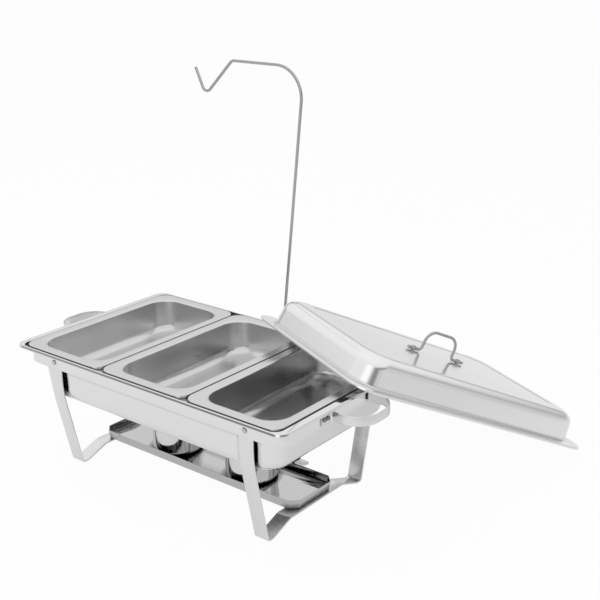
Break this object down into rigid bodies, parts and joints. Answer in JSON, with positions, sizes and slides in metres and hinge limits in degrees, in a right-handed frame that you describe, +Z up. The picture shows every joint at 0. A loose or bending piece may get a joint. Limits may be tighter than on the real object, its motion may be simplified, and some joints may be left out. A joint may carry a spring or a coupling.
{
  "type": "chafing dish food warmer",
  "caption": "Folding strip frame carrying a deep water pan with drop-in food pans, a fuel tray with covered fuel holders below, a separate lid and a rod that hangs the lid.",
  "frame": {"origin": "on the surface it stands on, midway between the four feet, under the middle of the dish", "axes": "+X along the dish towards the end with the leaning lid, +Y across it to the side that carries the lid rod, +Z up; the server stands at -Y"},
  "size_m": [0.7762, 0.7135, 0.641],
  "materials": {
    "band_steel": "satin stainless steel strip",
    "leg_steel": "stainless steel strip, brushed along its length",
    "fastener_steel": "plain stainless steel",
    "polished_steel": "polished stainless steel sheet",
    "pan_steel": "satin stainless steel sheet",
    "lid_steel": "mirror polished stainless steel sheet",
    "wire_steel": "bright wire and turned posts",
    "grip_black": "black heat-proof sleeve"
  },
  "bodies": {
    "frame": {"frame_band": "band_steel", "handle_left": "band_steel", "handle_right": "band_steel", "handle_bolts": "fastener_steel", "handle_nuts": "fastener_steel", "hook_socket": "band_steel", "hook_socket_rivets": "fastener_steel", "leg_rivets": "fastener_steel", "leg_washers": "fastener_steel"},
    "left_leg": {"left_leg_frame": "leg_steel", "left_tray_stud": "leg_steel"},
    "right_leg": {"right_leg_frame": "leg_steel", "right_tray_stud": "leg_steel"},
    "tray": {"fuel_tray": "polished_steel"},
    "left_fuel_holder": {"fuel_holder_left": "polished_steel", "cover_pivot_left": "fastener_steel"},
    "right_fuel_holder": {"fuel_holder_right": "polished_steel", "cover_pivot_right": "fastener_steel"},
    "left_fuel_cover": {"holder_cover_left": "polished_steel", "cover_grip_left": "grip_black"},
    "right_fuel_cover": {"holder_cover_right": "polished_steel", "cover_grip_right": "grip_black"},
    "deep_pan": {"water_pan": "polished_steel"},
    "left_food_pan": {"food_pan_left": "pan_steel"},
    "middle_food_pan": {"food_pan_middle": "pan_steel"},
    "right_food_pan": {"food_pan_right": "pan_steel"},
    "dish_lid": {"lid": "lid_steel", "lid_handle_posts": "wire_steel", "lid_post_nuts": "fastener_steel"},
    "lid_bail": {"lid_handle": "wire_steel"},
    "rod": {"hook_rod": "wire_steel"}
  },
  "joints": [
    {"name": "water_pan_lift", "type": "slide", "parent": "frame", "child": "deep_pan", "axis": [0, 0, 1], "range_m": [0, 0.196]},
    {"name": "fuel_tray_lift", "type": "slide", "parent": "frame", "child": "tray", "axis": [0, 0, 1], "range_m": [0, 0.196]},
    {"name": "left_leg_fold", "type": "hinge", "parent": "frame", "child": "left_leg", "pos_m": [-0.2, 0, 0.189], "axis": [0, -1, 0], "range_deg": [0, 90]},
    {"name": "right_leg_fold", "type": "hinge", "parent": "frame", "child": "right_leg", "pos_m": [0.2, 0, 0.189], "axis": [0, 1, 0], "range_deg": [0, 90]},
    {"name": "left_fuel_holder_lift", "type": "slide", "parent": "tray", "child": "left_fuel_holder", "axis": [0, 0, 1], "range_m": [0, 0.035]},
    {"name": "right_fuel_holder_lift", "type": "slide", "parent": "tray", "child": "right_fuel_holder", "axis": [0, 0, 1], "range_m": [0, 0.035]},
    {"name": "left_cover_swing", "type": "hinge", "parent": "left_fuel_holder", "child": "left_fuel_cover", "pos_m": [-0.081, 0.0345, 0.071], "axis": [0, 0, 1], "range_deg": [0, 120]},
    {"name": "right_cover_swing", "type": "hinge", "parent": "right_fuel_holder", "child": "right_fuel_cover", "pos_m": [0.081, 0.0345, 0.071], "axis": [0, 0, 1], "range_deg": [0, 120]},
    {"name": "left_food_pan_lift", "type": "slide", "parent": "deep_pan", "child": "left_food_pan", "axis": [0, 0, 1], "range_m": [0, 0.072]},
    {"name": "lid_lift", "type": "slide", "parent": "deep_pan", "child": "dish_lid", "axis": [0.2057, 0.3771, 0.903], "range_m": [0, 0.12]},
    {"name": "middle_food_pan_lift", "type": "slide", "parent": "deep_pan", "child": "middle_food_pan", "axis": [0, 0, 1], "range_m": [0, 0.072]},
    {"name": "right_food_pan_lift", "type": "slide", "parent": "deep_pan", "child": "right_food_pan", "axis": [0, 0, 1], "range_m": [0, 0.072]},
    {"name": "lid_bail_swing", "type": "hinge", "parent": "dish_lid", "child": "lid_bail", "pos_m": [0.23861, 0.29215, 0.17115], "axis": [0.3124, 0.8492, -0.4258], "range_deg": [-88, 88]},
    {"name": "rod_swivel", "type": "hinge", "parent": "frame", "child": "rod", "pos_m": [-0.0035, 0.19, 0.2], "axis": [0, 0, 1], "range_deg": [-60, 90]}
  ],
  "couplings": [
    {"joint": "fuel_tray_lift", "follows": "water_pan_lift", "ratio": 1},
    {"joint": "left_leg_fold", "follows": "water_pan_lift", "rad_per_m": 8},
    {"joint": "right_leg_fold", "follows": "water_pan_lift", "rad_per_m": 8},
    {"joint": "middle_food_pan_lift", "follows": "lid_lift", "ratio": 0.6},
    {"joint": "right_food_pan_lift", "follows": "lid_lift", "ratio": 0.6}
  ]
}
